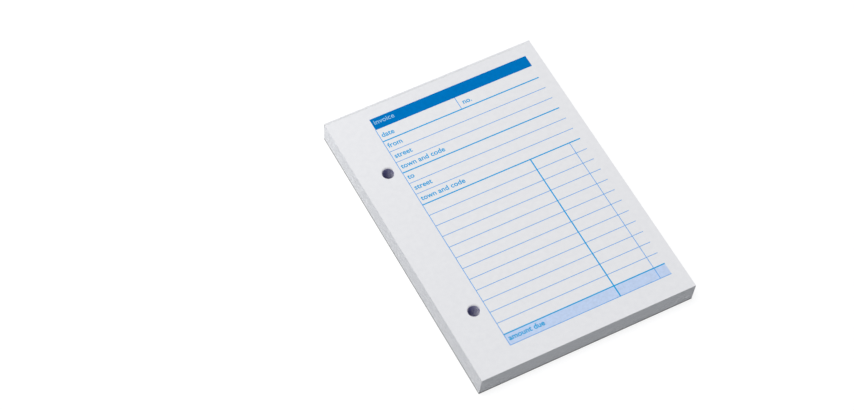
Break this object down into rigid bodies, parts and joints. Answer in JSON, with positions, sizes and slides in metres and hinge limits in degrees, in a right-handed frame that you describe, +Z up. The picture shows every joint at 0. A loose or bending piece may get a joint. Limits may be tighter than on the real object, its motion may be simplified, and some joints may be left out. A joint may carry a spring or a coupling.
{
  "type": "invoice book",
  "caption": "Pad of ruled invoice forms, drilled at the left for filing and glued along the head to a grey board, with a scored card cover that turns right back under the pad.",
  "frame": {"origin": "middle of the underside of the book, with the cover turned back under the pad", "axes": "+X to the right of the form, +Y from the foot to the glued head, +Z up out of the forms' printed face"},
  "size_m": [0.105, 0.1492, 0.0109],
  "materials": {
    "form_paper": "matt uncoated white paper with blue form print",
    "grey_board": "matt grey board of recycled fibre",
    "padding_glue": "dried milky padding glue, slightly rubbery",
    "cover_card": "thin card, printed navy and varnished outside, bare white inside"
  },
  "bodies": {
    "pad": {"form_02": "form_paper", "form_03": "form_paper", "form_04": "form_paper", "form_05": "form_paper", "form_06": "form_paper", "form_07": "form_paper", "form_08": "form_paper", "form_09": "form_paper", "form_10": "form_paper", "form_block_1": "form_paper", "form_block_2": "form_paper", "form_block_3": "form_paper", "form_block_4": "form_paper", "form_block_5": "form_paper", "form_block_6": "form_paper", "form_block_7": "form_paper", "form_block_8": "form_paper", "form_block_9": "form_paper", "backing_board": "grey_board", "head_glue": "padding_glue", "cover_spine": "cover_card"},
    "top_form": {"form_01": "form_paper"},
    "cover_strip": {"cover_hinge_strip": "cover_card"},
    "cover_panel": {"cover_front": "cover_card"}
  },
  "joints": [
    {"name": "cover_fold", "type": "hinge", "parent": "pad", "child": "cover_strip", "pos_m": [0, 0.07417, 0.01049], "axis": [1, 0, 0], "range_deg": [0, 270]},
    {"name": "cover_turn", "type": "hinge", "parent": "cover_strip", "child": "cover_panel", "pos_m": [0, 0.07417, 0.00014], "axis": [1, 0, 0], "range_deg": [0, 90]},
    {"name": "form_turn", "type": "hinge", "parent": "pad", "child": "top_form", "pos_m": [0, 0.07338, 0.01064], "axis": [1, 0, 0], "range_deg": [-178, 0]}
  ],
  "couplings": [
    {"joint": "cover_turn", "follows": "cover_fold", "ratio": 0.33333}
  ]
}
